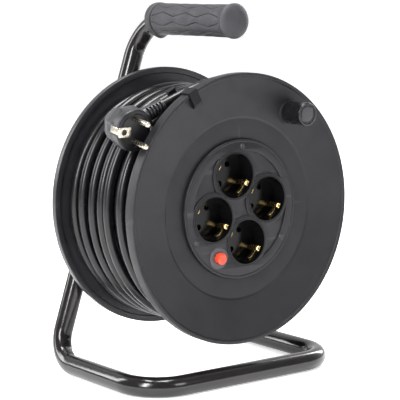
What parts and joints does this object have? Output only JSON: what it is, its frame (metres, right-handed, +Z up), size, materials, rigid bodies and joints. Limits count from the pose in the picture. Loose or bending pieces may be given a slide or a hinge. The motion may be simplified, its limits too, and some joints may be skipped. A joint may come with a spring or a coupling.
{
  "type": "extension cord reel",
  "caption": "Cord reel with a wound mains cable between two round flanges, socket outlets in its face, a bent tube stand with a grip, a winding knob and a reset button.",
  "frame": {"origin": "on the floor under the middle of the reel's box, measured without the cable and its plug", "axes": "+Z up, -Y out of the socket face, drum axis along Y, +X to the right as seen from the socket face"},
  "size_m": [0.2434, 0.188, 0.3374],
  "materials": {
    "frame_paint": "black gloss paint",
    "grip_rubber": "satin dark grey rubber",
    "zinc_steel": "zinc plated",
    "flange_plastic": "fine grained matte",
    "panel_plastic": "matte",
    "well_plastic": "satin",
    "bush_plastic": "acetal",
    "knob_plastic": "satin",
    "contact_brass": "bright",
    "button_red": "satin red",
    "cable_rubber": "satin",
    "plug_rubber": "satin",
    "pin_nickel": "nickel plated"
  },
  "bodies": {
    "frame": {"frame_tube": "frame_paint", "leg_weld": "frame_paint", "hand_grip": "grip_rubber", "tube_end_plug": "bush_plastic", "axle_bolt": "zinc_steel", "axle_washers": "zinc_steel", "axle_locknut": "zinc_steel", "axle_spacer": "flange_plastic"},
    "drum": {"rear_flange": "flange_plastic", "front_flange": "flange_plastic", "drum_barrel": "flange_plastic", "cable_grommet": "cable_rubber", "barrel_screws": "zinc_steel", "bearing_bush": "bush_plastic", "socket_panel": "panel_plastic", "socket_well_1": "well_plastic", "socket_well_2": "well_plastic", "socket_well_3": "well_plastic", "socket_well_4": "well_plastic", "earth_contact_1": "contact_brass", "earth_contact_2": "contact_brass", "earth_contact_3": "contact_brass", "earth_contact_4": "contact_brass", "live_bar": "contact_brass", "neutral_bar": "contact_brass", "earth_bar": "contact_brass", "module_cover": "panel_plastic", "panel_screws": "zinc_steel", "cable_clamp": "panel_plastic", "clamp_screws": "zinc_steel", "thermal_cutout": "well_plastic", "button_bezel": "well_plastic", "reset_spring": "zinc_steel", "knob_washer": "knob_plastic", "knob_pin": "zinc_steel", "knob_pin_nut": "zinc_steel", "cable_winding": "cable_rubber", "cable_lead": "cable_rubber", "cable_tail": "cable_rubber", "cable_clip": "flange_plastic", "plug_body": "plug_rubber", "plug_boot": "plug_rubber", "plug_pin_1": "pin_nickel", "plug_pin_2": "pin_nickel", "plug_earth_1": "pin_nickel", "plug_earth_2": "pin_nickel"},
    "knob": {"winding_knob": "knob_plastic", "knob_cap": "knob_plastic"},
    "button": {"reset_button": "button_red"}
  },
  "joints": [
    {"name": "drum_spin", "type": "hinge", "parent": "frame", "child": "drum", "pos_m": [0, 0.037, 0.1577], "axis": [0, 1, 0], "continuous": true},
    {"name": "knob_spin", "type": "hinge", "parent": "drum", "child": "knob", "pos_m": [0.0545, -0.083, 0.2401], "axis": [0, 1, 0], "continuous": true},
    {"name": "reset_press", "type": "slide", "parent": "drum", "child": "button", "axis": [0, 1, 0], "range_m": [0, 0.003], "stiffness_N_per_m": 300, "springref_m": -0.002}
  ]
}
